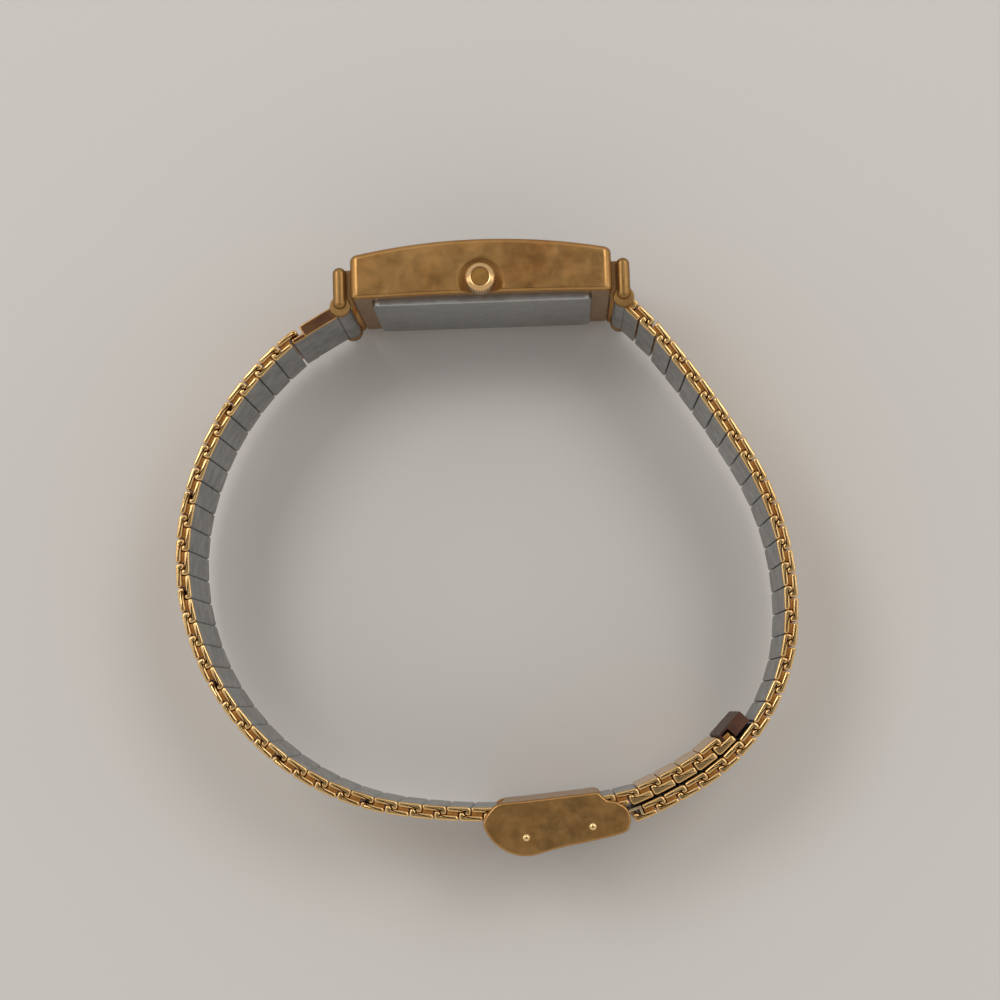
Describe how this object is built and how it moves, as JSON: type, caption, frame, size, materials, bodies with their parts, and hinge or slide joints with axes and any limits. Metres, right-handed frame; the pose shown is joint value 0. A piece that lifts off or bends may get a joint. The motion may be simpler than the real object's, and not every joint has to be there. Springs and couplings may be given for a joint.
{
  "type": "wristwatch",
  "caption": "Slim rectangular quartz dress watch lying on its side, with a closed bracelet of interlocking channels and a lever clasp.",
  "frame": {"origin": "on the 9 o'clock side of the case, which the watch rests on, directly below the crown's axis", "axes": "+Z out of the crown side at 3 o'clock, +Y out of the dial, +X towards 12 o'clock; the bracelet loops to -Y"},
  "size_m": [0.062, 0.0614, 0.0194],
  "materials": {
    "gold_case": "satin gold-coloured plating",
    "gold_lug": "polished gold-coloured plating, tarnished in the corners",
    "gold_crown": "polished gold-coloured plating",
    "gold_band": "polished gold-coloured channels outside, plain steel inside",
    "end_gold": "worn gold-coloured plating, brown in the hollows",
    "clasp_gold": "satin gold-coloured plating",
    "clasp_lever_gold": "brushed gold-coloured plating",
    "clasp_pin_gold": "plain gold-coloured",
    "hook_steel": "satin steel",
    "back_steel": "satin stainless steel",
    "glass": "clear mineral glass",
    "seal": "black seal",
    "dial_paint": "champagne sunray lacquer",
    "dial_gold": "polished gold-coloured",
    "holder_plastic": "white plastic",
    "plate_brass": "matt brass",
    "wheel_plastic": "blue plastic",
    "magnet": "dark magnet with a steel pinion",
    "movement_steel": "plain steel",
    "battery_steel": "bright nickel",
    "copper": "enamelled copper wire",
    "board": "green circuit board with a black chip"
  },
  "bodies": {
    "case": {"case_body": "gold_case", "case_back": "back_steel", "back_gasket": "seal", "crystal": "glass", "crystal_gasket": "seal", "dial": "dial_paint", "dial_markers": "dial_gold", "dial_ring": "dial_gold", "movement_holder": "holder_plastic", "main_plate": "plate_brass", "train_bridge": "plate_brass", "bridge_screws": "movement_steel", "battery": "battery_steel", "battery_clamp": "movement_steel", "coil_core": "movement_steel", "coil_winding": "copper", "stator": "movement_steel", "quartz_can": "movement_steel", "circuit_board": "board", "crown_tube": "movement_steel", "upper_lugs": "gold_lug", "lower_lugs": "gold_lug", "upper_spring_bar": "movement_steel", "lower_spring_bar": "movement_steel"},
    "clutch": {"clutch_pinion": "plate_brass"},
    "crown": {"crown": "gold_crown", "crown_gasket": "seal", "winding_stem": "movement_steel"},
    "setting_lever": {"setting_lever": "movement_steel"},
    "minute": {"centre_wheel": "plate_brass", "minute_hand": "dial_gold"},
    "hour": {"hour_wheel": "plate_brass", "hour_hand": "dial_gold"},
    "minute_wheel": {"minute_wheel": "plate_brass"},
    "third_wheel": {"third_wheel": "plate_brass"},
    "intermediate_wheel": {"intermediate_wheel": "wheel_plastic"},
    "rotor": {"rotor": "magnet"},
    "upper_end": {"upper_end_piece": "end_gold"},
    "lower_end": {"lower_end_piece": "end_gold"},
    "clasp": {"clasp_body": "clasp_gold", "clasp_pins": "clasp_pin_gold", "band_in_clasp": "gold_band"},
    "tail": {"band_tail": "gold_band", "tail_end": "end_gold"},
    "lever": {"clasp_lever": "clasp_lever_gold"},
    "upper_1": {"upper_band_1": "gold_band"},
    "upper_2": {"upper_band_2": "gold_band"},
    "upper_3": {"upper_band_3": "gold_band"},
    "upper_4": {"upper_band_4": "gold_band"},
    "upper_5": {"upper_band_5": "gold_band"},
    "upper_6": {"upper_band_6": "gold_band", "band_hook": "hook_steel"},
    "lower_1": {"lower_band_1": "gold_band"},
    "lower_2": {"lower_band_2": "gold_band"},
    "lower_3": {"lower_band_3": "gold_band"},
    "lower_4": {"lower_band_4": "gold_band"},
    "lower_5": {"lower_band_5": "gold_band"},
    "lower_6": {"lower_band_6": "gold_band"},
    "lower_7": {"lower_band_7": "gold_band"}
  },
  "joints": [
    {"name": "crown_turn", "type": "hinge", "parent": "case", "child": "clutch", "pos_m": [0, 0, 0.00875], "axis": [0, 0, 1], "continuous": true},
    {"name": "crown_pull", "type": "slide", "parent": "clutch", "child": "crown", "axis": [0, 0, 1], "range_m": [0, 0.0008]},
    {"name": "setting_lever_turn", "type": "hinge", "parent": "case", "child": "setting_lever", "pos_m": [-0.0024, -0.00058, 0.01305], "axis": [0, -1, 0], "range_deg": [0, 19.48]},
    {"name": "minute_turn", "type": "hinge", "parent": "case", "child": "minute", "pos_m": [0, -0.00083, 0.00875], "axis": [0, -1, 0], "continuous": true},
    {"name": "hour_turn", "type": "hinge", "parent": "case", "child": "hour", "pos_m": [0, -0.00083, 0.00875], "axis": [0, -1, 0], "continuous": true},
    {"name": "minute_wheel_turn", "type": "hinge", "parent": "case", "child": "minute_wheel", "pos_m": [0.0012, -0.00083, 0.01083], "axis": [0, -1, 0], "continuous": true},
    {"name": "third_wheel_turn", "type": "hinge", "parent": "case", "child": "third_wheel", "pos_m": [0.00187, -0.00083, 0.00744], "axis": [0, -1, 0], "continuous": true},
    {"name": "intermediate_wheel_turn", "type": "hinge", "parent": "case", "child": "intermediate_wheel", "pos_m": [0.00423, -0.00083, 0.00786], "axis": [0, -1, 0], "continuous": true},
    {"name": "rotor_turn", "type": "hinge", "parent": "case", "child": "rotor", "pos_m": [0.00572, -0.00083, 0.00963], "axis": [0, -1, 0], "continuous": true},
    {"name": "strap_open", "type": "hinge", "parent": "case", "child": "upper_end", "pos_m": [0.01427, -0.00185, 0.00875], "axis": [0, 0, 1], "range_deg": [0, 46]},
    {"name": "upper_band_1_turn", "type": "hinge", "parent": "upper_end", "child": "upper_1", "pos_m": [0.01782, -0.00488, 0.00875], "axis": [0, 0, 1], "range_deg": [0, 8.3]},
    {"name": "upper_band_2_turn", "type": "hinge", "parent": "upper_1", "child": "upper_2", "pos_m": [0.0234, -0.01274, 0.00875], "axis": [0, 0, 1], "range_deg": [0, 6.22]},
    {"name": "upper_band_3_turn", "type": "hinge", "parent": "upper_2", "child": "upper_3", "pos_m": [0.02808, -0.02121, 0.00875], "axis": [0, 0, 1], "range_deg": [0, 15.61]},
    {"name": "upper_band_4_turn", "type": "hinge", "parent": "upper_3", "child": "upper_4", "pos_m": [0.03023, -0.03069, 0.00875], "axis": [0, 0, 1], "range_deg": [0, 19.52]},
    {"name": "upper_band_5_turn", "type": "hinge", "parent": "upper_4", "child": "upper_5", "pos_m": [0.02905, -0.04035, 0.00875], "axis": [0, 0, 1], "range_deg": [0, 26.72]},
    {"name": "upper_band_6_turn", "type": "hinge", "parent": "upper_5", "child": "upper_6", "pos_m": [0.0236, -0.04844, 0.00875], "axis": [0, 0, 1], "range_deg": [0, 28.25]},
    {"name": "lower_end_turn", "type": "hinge", "parent": "case", "child": "lower_end", "pos_m": [-0.01427, -0.00185, 0.00875], "axis": [0, 0, -1], "range_deg": [0, 23.54]},
    {"name": "lower_band_1_turn", "type": "hinge", "parent": "lower_end", "child": "lower_1", "pos_m": [-0.01942, -0.00425, 0.00875], "axis": [0, 0, -1], "range_deg": [0, 12.65]},
    {"name": "lower_band_2_turn", "type": "hinge", "parent": "lower_1", "child": "lower_2", "pos_m": [-0.02624, -0.0114, 0.00875], "axis": [0, 0, -1], "range_deg": [0, 15.15]},
    {"name": "lower_band_3_turn", "type": "hinge", "parent": "lower_2", "child": "lower_3", "pos_m": [-0.03037, -0.02037, 0.00875], "axis": [0, 0, -1], "range_deg": [0, 16.22]},
    {"name": "lower_band_4_turn", "type": "hinge", "parent": "lower_3", "child": "lower_4", "pos_m": [-0.03111, -0.03022, 0.00875], "axis": [0, 0, -1], "range_deg": [0, 11.07]},
    {"name": "lower_band_5_turn", "type": "hinge", "parent": "lower_4", "child": "lower_5", "pos_m": [-0.02808, -0.03964, 0.00875], "axis": [0, 0, -1], "range_deg": [0, 11.08]},
    {"name": "lower_band_6_turn", "type": "hinge", "parent": "lower_5", "child": "lower_6", "pos_m": [-0.02173, -0.04722, 0.00875], "axis": [0, 0, -1], "range_deg": [0, 11.08]},
    {"name": "lower_band_7_turn", "type": "hinge", "parent": "lower_6", "child": "lower_7", "pos_m": [-0.013, -0.05185, 0.00875], "axis": [0, 0, -1], "range_deg": [0, 10.55]},
    {"name": "clasp_turn", "type": "hinge", "parent": "lower_7", "child": "clasp", "pos_m": [-0.0008, -0.05344, 0.00875], "axis": [0, 0, -1], "range_deg": [0, 6.63]},
    {"name": "tail_turn", "type": "hinge", "parent": "clasp", "child": "tail", "pos_m": [0.01361, -0.05203, 0.00875], "axis": [0, 0, -1], "range_deg": [0, 6.02]},
    {"name": "clasp_lever_turn", "type": "hinge", "parent": "clasp", "child": "lever", "pos_m": [0.00278, -0.05527, 0.00875], "axis": [0, 0, -1], "range_deg": [0, 100]}
  ],
  "couplings": [
    {"joint": "setting_lever_turn", "follows": "crown_pull", "rad_per_m": 424.8},
    {"joint": "hour_turn", "follows": "minute_turn", "ratio": 0.083333},
    {"joint": "minute_wheel_turn", "follows": "minute_turn", "ratio": -0.33333},
    {"joint": "third_wheel_turn", "follows": "minute_turn", "ratio": -3.75},
    {"joint": "intermediate_wheel_turn", "follows": "minute_turn", "ratio": 15},
    {"joint": "rotor_turn", "follows": "minute_turn", "ratio": -90},
    {"joint": "upper_band_1_turn", "follows": "strap_open", "ratio": 0.17994},
    {"joint": "upper_band_2_turn", "follows": "strap_open", "ratio": 0.13473},
    {"joint": "upper_band_3_turn", "follows": "strap_open", "ratio": 0.33882},
    {"joint": "upper_band_4_turn", "follows": "strap_open", "ratio": 0.42401},
    {"joint": "upper_band_5_turn", "follows": "strap_open", "ratio": 0.58035},
    {"joint": "upper_band_6_turn", "follows": "strap_open", "ratio": 0.61375},
    {"joint": "lower_end_turn", "follows": "strap_open", "ratio": 0.5113},
    {"joint": "lower_band_1_turn", "follows": "strap_open", "ratio": 0.27465},
    {"joint": "lower_band_2_turn", "follows": "strap_open", "ratio": 0.329},
    {"joint": "lower_band_3_turn", "follows": "strap_open", "ratio": 0.35216},
    {"joint": "lower_band_4_turn", "follows": "strap_open", "ratio": 0.2403},
    {"joint": "lower_band_5_turn", "follows": "strap_open", "ratio": 0.24044},
    {"joint": "lower_band_6_turn", "follows": "strap_open", "ratio": 0.24044},
    {"joint": "lower_band_7_turn", "follows": "strap_open", "ratio": 0.22894},
    {"joint": "clasp_turn", "follows": "strap_open", "ratio": 0.14381},
    {"joint": "tail_turn", "follows": "strap_open", "ratio": 0.13043}
  ]
}
